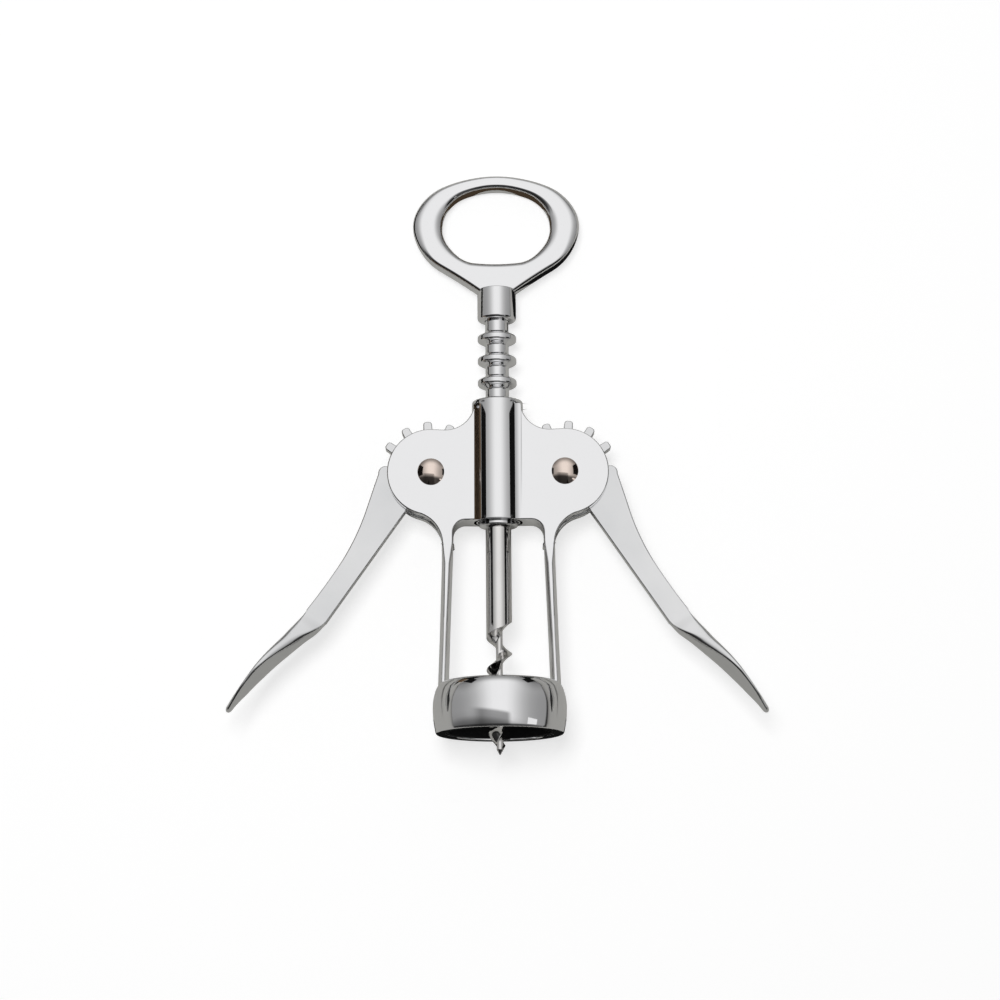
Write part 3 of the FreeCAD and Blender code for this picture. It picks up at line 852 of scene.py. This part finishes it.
@dataclass
class RingHandle:
    """Flat ring with a large outer rounding, standing on a round collar."""

    centre: tuple[float, float] = (0.0, 142.3)
    half_depth: float = 3.0
    outer_share: float = 0.37
    inner_share: float = 0.55
    inner_less: float = 0.95
    flank_start: float = 0.85
    foot_height: float = 122.75
    foot_half: float = 4.6
    collar: float = 5.35
    collar_top: float = 124.0
    base: float = 115.0
    neck: float = 3.225
    outline: tuple[tuple[float, float], ...] = (
        (0, 156.6),
        (-14.6, 153.7),
        (-22.1, 146.8),
        (-22.8, 139.6),
        (-15.5, 130.0),
        (-4.6, 122.75),
    )
    hole_top: tuple[tuple[float, float], ...] = ((0, 153.1), (-8.4, 151.5), (-13.7, 147.0), (-15.0, 142.5))
    hole_foot: tuple[tuple[float, float], ...] = (
        (0, 131.2),
        (-6.4, 131.6),
        (-10.6, 133.5),
        (-13.5, 136.8),
        (-15.0, 142.5),
    )

    def reach(self, outline: np.ndarray, angle: np.ndarray) -> np.ndarray:
        """Distance from the ring's centre to an outline at each angle.

        Args:
            outline: points of the left half of the outline, in mm.
            angle: angles round the centre.

        Returns:
            Distances in mm.
        """
        both = np.concatenate([outline, outline * np.array([-1.0, 1.0])])
        rel = both - np.array(self.centre)
        turn = np.arctan2(rel[:, 1], rel[:, 0]) % (2 * np.pi)
        order = np.argsort(turn)
        return np.interp(angle, turn[order], np.hypot(rel[:, 0], rel[:, 1])[order], period=2 * np.pi)

    @staticmethod
    def deepen(width: np.ndarray) -> np.ndarray:
        """Depth of a rounding: 0.55 of its width plus 0.6 mm.

        Args:
            width: its width, in mm.

        Returns:
            Its depth, in mm.
        """
        return 0.55 * width + 0.6

    def roundings(self, angle: np.ndarray, width: np.ndarray) -> tuple[np.ndarray, np.ndarray]:
        """Widths of the outer and inner roundings, which are wide at the sides of the ring.

        They are never wider than their share of the bar's local width.

        Args:
            angle: angles round the centre.
            width: width of the bar at each angle, in mm.

        Returns:
            Outer and inner width at each angle, in mm.
        """
        across = np.cos(angle)
        upper = np.sin(angle) >= 0.0
        below = np.clip((np.abs(across) - self.flank_start) / (1.0 - self.flank_start), 0.0, 1.0) ** 2
        outer = np.minimum(self.outer_share * width, 1.1 + 1.8 * np.where(upper, across**2, below))
        inner = np.where(upper, 1.0 + 1.9 * across**6, 2.1 + 0.8 * across**2)
        return outer, np.minimum(self.inner_share * width - self.inner_less, inner)

    def ring(self) -> bpy.types.Object:
        """Ring: a crowned section carried round between the outer outline and the hole.

        Each rounding is a quarter of an ellipse.

        Returns:
            The ring's object.
        """
        angle = np.linspace(0.0, 2 * np.pi, 360, endpoint=False)
        foot = np.stack([np.linspace(-self.foot_half, 0.0, 10), np.full(10, self.foot_height)], -1)
        outer = np.concatenate([tangent_arcs(self.outline, (-1, 0), 40), foot])
        hole = np.concatenate([tangent_arcs(line, (-1, 0), 40) for line in (self.hole_top, self.hole_foot)])
        far, near = self.reach(outer, angle), self.reach(hole, angle)
        out_wide, in_wide = self.roundings(angle, far - near)
        turn = np.radians(np.linspace(0.0, 90.0, 16))[:, None]
        out_away, out_sink = far - out_wide * (1 - np.cos(turn)), self.deepen(out_wide) * (1 - np.sin(turn))
        in_away, in_sink = near + in_wide * (1 - np.cos(turn)), self.deepen(in_wide) * (1 - np.sin(turn))
        front = self.half_depth - np.concatenate([out_sink, in_sink[::-1]])
        away = np.concatenate([out_away, in_away[::-1]])
        distance = np.concatenate([away, away[::-1]])
        depth = np.concatenate([front, -front[::-1]])
        points = np.stack(
            [
                self.centre[0] + distance * np.cos(angle),
                self.centre[1] + distance * np.sin(angle),
                depth,
            ],
            axis=-1,
        )
        return close_and_smooth(grid_mesh("ring_grip", points, True, True), 60.0)

    def build(self, chrome: bpy.types.Material) -> None:
        """Builds and dresses the ring and its collar.

        Args:
            chrome: their finish.
        """
        dress(self.ring(), chrome, Body.SCREW, Slot.SPINDLE, "ring_handle")
        foot = arc_points((self.collar - 0.9, self.base + 0.9), 0.9, 270.0, 360.0, 12)
        crown = arc_points((self.collar - 0.35, self.collar_top - 0.35), 0.35, 0.0, 90.0, 8)
        profile = np.concatenate(
            [
                [[self.neck + 0.15, self.base + 1.3], [self.neck + 0.15, self.base]],
                foot,
                crown,
                [[2.0, self.collar_top], [2.0, self.base + 1.3], [self.neck + 0.15, self.base + 1.3]],
            ]
        )
        collar = lathe("handle_collar", profile, (0.0, 0.0), "Y", 120)
        dress(collar, chrome, Body.SCREW, Slot.SPINDLE, "ring_handle")


# Grey levels of the room that reflections see, each by one direction

DOME: Stops = (
    (0.0, 0.90),
    (0.2, 0.885),
    (0.35, 0.79),
    (0.5, 0.64),
    (0.65, 0.49),
    (0.8, 0.38),
    (0.92, 0.32),
    (1.0, 0.29),
)
WALL: Stops = ((0.0, 0.30), (0.2, 0.36), (0.35, 0.52), (0.5, 0.82), (0.65, 1.0), (1.0, 1.0))
VEIL: Stops = ((0.0, 0.32), (0.45, 0.38), (0.478, 1.0), (1.0, 1.0))
FRONT: Stops = ((0.0, 0.08), (0.30, 0.10), (0.36, 0.45), (0.40, 0.90), (0.44, 1.0), (1.0, 1.0))
RIM: Stops = ((0.0, 0.12), (0.03, 0.14), (0.07, 1.0), (1.0, 1.0))

CARD_BLACK: Grey = (0.006, 0.006, 0.006)
CARD_BROWN: Grey = (0.115, 0.078, 0.050)
CARD_DIM: Grey = (0.05, 0.035, 0.022)
CARD_WHITE: Grey = (0.85, 0.85, 0.85)


@dataclass
class Studio:
    """White sheet, room, cards for the reflections, one soft lamp and the camera."""

    distance: float = 760.0
    tilt: float = 11.9
    aim: tuple[float, float, float] = (0.5, 64.4, 0.0)
    lens: float = 99.86
    roll: float = 0.46

    def camera(self) -> None:
        """Places the camera at its distance, leaning towards the foot of the tool."""
        data = bpy.data.cameras.new("picture_camera")
        data.sensor_width = 36.0
        data.lens = self.lens
        data.clip_start, data.clip_end = 0.01, 20.0
        lean, roll = math.radians(self.tilt), math.radians(self.roll)
        back = Vector((0.0, -math.sin(lean), math.cos(lean)))
        right, up = Vector((1.0, 0.0, 0.0)), back.cross(Vector((1.0, 0.0, 0.0)))
        level, upright = math.cos(roll), math.sin(roll)
        right, up = right * level - up * upright, right * upright + up * level
        place = (Vector(self.aim) + back * self.distance) * MM
        turn = Matrix((right, up, back)).transposed()
        made = bpy.data.objects.new("picture_camera", data)
        made.matrix_world = Matrix.Translation(place) @ turn.to_4x4()
        bpy.context.collection.objects.link(made)
        bpy.context.scene.camera = made

    def sheet(self) -> None:
        """White sheet under the bell and the ring: brightest to the camera, grey in reflections."""
        half = 2500.0
        spots = np.array([(-half, -half), (half, -half), (half, half), (-half, half)])
        points = np.stack([spots[:, 0], spots[:, 1], self.sheet_height(spots[:, 1])], axis=-1)
        mesh = bpy.data.meshes.new("white_sheet")
        mesh.from_pydata((points * MM).tolist(), [], [(0, 1, 2, 3)])
        made = bpy.data.objects.new("white_sheet", mesh)
        bpy.context.collection.objects.link(made)
        paper = bpy.data.materials.new("white_paper")
        paper.use_nodes = True
        nodes, links = paper.node_tree.nodes, paper.node_tree.links
        nodes.remove(nodes["Principled BSDF"])
        matt = nodes.new("ShaderNodeBsdfDiffuse")
        matt.inputs["Color"].default_value = (0.46, 0.46, 0.46, 1.0)
        glow = nodes.new("ShaderNodeEmission")
        glow.inputs["Strength"].default_value = 0.69
        grey = nodes.new("ShaderNodeBsdfDiffuse")
        grey.inputs["Color"].default_value = (0.52, 0.515, 0.49, 1.0)
        seen = nodes.new("ShaderNodeLightPath")
        both = nodes.new("ShaderNodeAddShader")
        pick = nodes.new("ShaderNodeMixShader")
        mirrored = nodes.new("ShaderNodeMixShader")
        links.new(matt.outputs["BSDF"], both.inputs[0])
        links.new(glow.outputs["Emission"], both.inputs[1])
        links.new(seen.outputs["Is Glossy Ray"], mirrored.inputs["Fac"])
        links.new(matt.outputs["BSDF"], mirrored.inputs[1])
        links.new(grey.outputs["BSDF"], mirrored.inputs[2])
        links.new(seen.outputs["Is Camera Ray"], pick.inputs["Fac"])
        links.new(mirrored.outputs["Shader"], pick.inputs[1])
        links.new(both.outputs["Shader"], pick.inputs[2])
        links.new(pick.outputs["Shader"], nodes["Material Output"].inputs["Surface"])
        mesh.materials.append(paper)

    def surroundings(self) -> None:
        """Room: greys for reflections, white for the camera and a weak light for the rest."""
        world = bpy.data.worlds.new("studio_room")
        bpy.context.scene.world = world
        world.use_nodes = True
        nodes, links = world.node_tree.nodes, world.node_tree.links
        nodes.clear()
        out = nodes.new("ShaderNodeOutputWorld")
        room = nodes.new("ShaderNodeBackground")
        links.new(self.room_greys(nodes, links), room.inputs["Color"])
        soft = nodes.new("ShaderNodeBackground")
        soft.inputs["Strength"].default_value = 0.25
        white = nodes.new("ShaderNodeBackground")
        white.inputs["Color"].default_value = (1.0, 1.0, 1.0, 1.0)
        seen = nodes.new("ShaderNodeLightPath")
        mirrored, pick = nodes.new("ShaderNodeMixShader"), nodes.new("ShaderNodeMixShader")
        links.new(seen.outputs["Is Glossy Ray"], mirrored.inputs["Fac"])
        links.new(soft.outputs["Background"], mirrored.inputs[1])
        links.new(room.outputs["Background"], mirrored.inputs[2])
        links.new(seen.outputs["Is Camera Ray"], pick.inputs["Fac"])
        links.new(mirrored.outputs["Shader"], pick.inputs[1])
        links.new(white.outputs["Background"], pick.inputs[2])
        links.new(pick.outputs["Shader"], out.inputs["Surface"])

    def room_greys(self, nodes: bpy.types.Nodes, links: bpy.types.NodeLinks) -> bpy.types.NodeSocket:
        """Grey of the room in each direction: the product of five patterns.

        The dome darkens to both sides, the wall towards the far horizon, the front and the
        veil towards the foot, and the rim at the horizon on the right.

        Args:
            nodes: the world's nodes.
            links: the world's links.

        Returns:
            The socket with the grey.
        """
        place = nodes.new("ShaderNodeTexCoord")
        split = nodes.new("ShaderNodeSeparateXYZ")
        links.new(place.outputs["Generated"], split.inputs["Vector"])
        across, along, up = (split.outputs[axis] for axis in "XYZ")
        aside = nodes.new("ShaderNodeMath")
        aside.operation = "ABSOLUTE"
        links.new(across, aside.inputs[0])
        slant = nodes.new("ShaderNodeMath")
        slant.operation = "MULTIPLY_ADD"
        slant.inputs[1].default_value = 0.11
        links.new(across, slant.inputs[0])
        links.new(along, slant.inputs[2])
        lean = self.span(nodes, links, slant.outputs[0], -1.0, 1.0, False)
        middle = nodes.new("ShaderNodeMath")
        middle.operation = "MULTIPLY"
        links.new(self.span(nodes, links, across, 0.38, 0.20), middle.inputs[0])
        links.new(self.span(nodes, links, across, -0.85, -0.50), middle.inputs[1])

        wall = self.levels(nodes, links, up, WALL)
        veil = self.levels(nodes, links, lean, VEIL)
        rim = self.levels(nodes, links, up, RIM)
        right = self.span(nodes, links, across, 0.0, 0.3, False)
        shade = self.levels(nodes, links, aside.outputs[0], DOME)
        for pattern in (
            self.blend(nodes, links, "MIX", None, wall, self.span(nodes, links, along, 0.35, 0.75)),
            self.levels(nodes, links, lean, FRONT),
            self.blend(nodes, links, "MIX", None, veil, middle.outputs[0]),
            self.blend(nodes, links, "MIX", None, rim, right),
        ):
            shade = self.blend(nodes, links, "MULTIPLY", shade, pattern)
        return shade

    @staticmethod
    def span(
        nodes: bpy.types.Nodes,
        links: bpy.types.NodeLinks,
        source: bpy.types.NodeSocket,
        first: float,
        last: float,
        smooth: bool = True,
    ) -> bpy.types.NodeSocket:
        """Share that rises from 0 to 1 between two values of a source.

        Args:
            nodes: the world's nodes.
            links: the world's links.
            source: the socket that it follows.
            first: value with the share 0.
            last: value with the share 1.
            smooth: whether the rise eases in and out.

        Returns:
            The socket with the share.
        """
        made = nodes.new("ShaderNodeMapRange")
        made.interpolation_type = "SMOOTHSTEP" if smooth else "LINEAR"
        made.inputs["From Min"].default_value = first
        made.inputs["From Max"].default_value = last
        links.new(source, made.inputs["Value"])
        return made.outputs["Result"]

    @staticmethod
    def blend(
        nodes: bpy.types.Nodes,
        links: bpy.types.NodeLinks,
        way: str,
        first: bpy.types.NodeSocket | None,
        second: bpy.types.NodeSocket,
        share: bpy.types.NodeSocket | None = None,
    ) -> bpy.types.NodeSocket:
        """Joins two colours of the room.

        Args:
            nodes: the world's nodes.
            links: the world's links.
            way: how they are joined.
            first: first colour, or None for white.
            second: second colour.
            share: share of the second colour, or None for all of it.

        Returns:
            The socket with the joined colour.
        """
        made = nodes.new("ShaderNodeMixRGB")
        made.blend_type = way
        made.inputs["Fac"].default_value = 1.0
        made.inputs["Color1"].default_value = (1.0, 1.0, 1.0, 1.0)
        if first is not None:
            links.new(first, made.inputs["Color1"])
        links.new(second, made.inputs["Color2"])
        if share is not None:
            links.new(share, made.inputs["Fac"])
        return made.outputs["Color"]

    @staticmethod
    def levels(
        nodes: bpy.types.Nodes, links: bpy.types.NodeLinks, source: bpy.types.NodeSocket, stops: Stops
    ) -> bpy.types.NodeSocket:
        """Grey that follows a source along the stops of a colour ramp.

        Args:
            nodes: the world's nodes.
            links: the world's links.
            source: the socket that it follows.
            stops: places and grey levels, in rising order.

        Returns:
            The socket with the grey.
        """
        made = nodes.new("ShaderNodeValToRGB")
        elements = made.color_ramp.elements
        elements[0].position, elements[1].position = stops[0][0], stops[-1][0]
        elements[0].color = (stops[0][1],) * 3 + (1.0,)
        elements[1].color = (stops[-1][1],) * 3 + (1.0,)
        for position, level in stops[1:-1]:
            elements.new(position).color = (level, level, level, 1.0)
        links.new(source, made.inputs["Fac"])
        return made.outputs["Color"]

    @staticmethod
    def card(name: str, corners: Corners, shade: Grey) -> None:
        """Flat card near the tool, seen only in the tool's reflections and not part of the tool.

        Args:
            name: its name.
            corners: its four corners, in mm.
            shade: its colour.
        """
        mesh = bpy.data.meshes.new(name)
        mesh.from_pydata((np.array(corners) * MM).tolist(), [], [(0, 1, 2, 3)])
        made = bpy.data.objects.new(name, mesh)
        bpy.context.collection.objects.link(made)
        felt = bpy.data.materials.new(name)
        felt.use_nodes = True
        nodes, links = felt.node_tree.nodes, felt.node_tree.links
        nodes.remove(nodes["Principled BSDF"])
        clear = nodes.new("ShaderNodeBsdfTransparent")
        plain = nodes.new("ShaderNodeEmission")
        plain.inputs["Color"].default_value = (*shade, 1.0)
        seen = nodes.new("ShaderNodeLightPath")
        pick = nodes.new("ShaderNodeMixShader")
        links.new(seen.outputs["Is Glossy Ray"], pick.inputs["Fac"])
        links.new(clear.outputs["BSDF"], pick.inputs[1])
        links.new(plain.outputs["Emission"], pick.inputs[2])
        links.new(pick.outputs["Shader"], nodes["Material Output"].inputs["Surface"])
        mesh.materials.append(felt)

    def flat(self, spots: list[tuple[float, float]]) -> Corners:
        """Corners of a card that lies on the sheet.

        Args:
            spots: x and y of its corners, in mm.

        Returns:
            Its corners, in mm.
        """
        return [(x, y, self.sheet_height(y) + 0.4) for x, y in spots]

    @staticmethod
    def upright(across: float, first: float, last: float, low: float, high: float) -> Corners:
        """Corners of a card that stands beside the tool.

        Args:
            across: its place across the tool, in mm.
            first: its end towards the foot, in mm.
            last: its end towards the ring, in mm.
            low: its lower edge, in mm.
            high: its upper edge, in mm.

        Returns:
            Its corners, in mm.
        """
        return [(across, first, low), (across, last, low), (across, last, high), (across, first, high)]

    @staticmethod
    def sheet_height(along: float | np.ndarray) -> float | np.ndarray:
        """Height of the sheet, which touches the bell at 8 mm and the ring at 154 mm.

        Args:
            along: place along the tool, in mm.

        Returns:
            Height there, in mm.
        """
        slope = (18.1 - 3.0) / (154.0 - 8.0)
        return -18.15 + slope * (along - 8.0)

    def lamp(self, name: str, place: tuple[float, float, float], size: float, power: float) -> None:
        """Adds a soft square lamp that faces the tool.

        Args:
            name: its name.
            place: where it hangs, in mm.
            size: its side, in mm.
            power: its power in watts.
        """
        data = bpy.data.lights.new(name, "AREA")
        data.shape = "SQUARE"
        data.size = size * MM
        data.energy = power
        made = bpy.data.objects.new(name, data)
        made.visible_glossy = False
        target = Vector((0.0, 0.07, 0.0))
        spot = Vector(place) * MM
        turn = (spot - target).to_track_quat("Z", "Y").to_matrix()
        made.matrix_world = Matrix.Translation(spot) @ turn.to_4x4()
        bpy.context.collection.objects.link(made)

    def build(self) -> None:
        """Sets up the sheet, the room, the cards, the lamp and the camera."""
        bpy.context.scene.view_settings.view_transform = "Standard"
        self.sheet()
        self.surroundings()
        self.cards()
        self.lamp("key_softbox", (-110.0, 120.0, 1000.0), 300.0, 5.2)
        self.camera()

    def cards(self) -> None:
        """Places the cards, seen only in reflections: painted dark reflections that give the metal its dark
        stripes, painted shadows on the sheet by the ring and the bell, and a painted bright highlight on the
        bell.

        They are neither floor nor backdrop and no part of the tool, and can be left out.
        """
        for side, name in ((-1, "left"), (1, "right")):
            self.card(name + "_card", self.upright(side * 60.0, 63.0, 108.0, 15.0, 46.0), CARD_BLACK)
            self.card(name + "_shaft_card", self.upright(side * 22.0, 33.0, 60.0, 8.0, 18.0), CARD_BLACK)
        self.card("left_low_card", self.upright(-61.0, 60.0, 108.0, -2.0, 13.0), CARD_BROWN)
        # Cards on the sheet, seen only in reflections: painted shadow in the ring's hole, right of the ring
        # and under the bell's mouth, and a painted dark reflection left of the ring.
        beside_ring = [(-150, 88), (-31, 88), (-31, 200), (-150, 200)]
        self.card("ring_left_shade", self.flat(beside_ring), CARD_BLACK)
        self.card("ring_hole_shade", self.flat([(-13, 144), (13, 144), (12, 152), (-12, 152)]), CARD_DIM)
        self.card("ring_right_shade", self.flat([(6, 121), (11, 113), (36, 134), (26, 142)]), CARD_BLACK)
        self.card("bell_mouth_shade", self.flat([(-24, -16), (24, -16), (24, 6), (-24, 6)]), CARD_BLACK)
        # White card seen only in the bell's reflection: a painted highlight.
        painted_highlight_card = [(192, -59, 84), (192, -29, 84), (160, -29, 142), (160, -59, 142)]
        self.card("bell_painted_highlight", painted_highlight_card, CARD_WHITE)


def main() -> None:
    """Builds the studio and every sub-assembly, in order."""
    Studio().build()
    chrome, steel = CHROME.build(), STEEL.build()
    copper, black = COPPER.build(), BLACK.build()
    BottleFrame().build(chrome, HOLLOW_PAINTED_REFLECTION.build(), black)
    Rivet("left_rivet_head", "left_rivet", -18.3).build(copper)
    Rivet("right_rivet_head", "right_rivet", 18.3).build(copper)
    # Lever chrome, darkened: painted shade.
    arm_chrome_shaded = ARM_CHROME_PAINTED_SHADE.build()
    Lever("left_lever_arm", "left_lever", -1, 35.5, Body.LEFT_ARM).build(arm_chrome_shaded)
    Lever("right_lever_arm", "right_lever", 1, 34.3, Body.RIGHT_ARM).build(arm_chrome_shaded)
    Rack().build(chrome)
    Worm().build(steel)
    RingHandle().build(chrome)


if __name__ == "__main__":
    main()
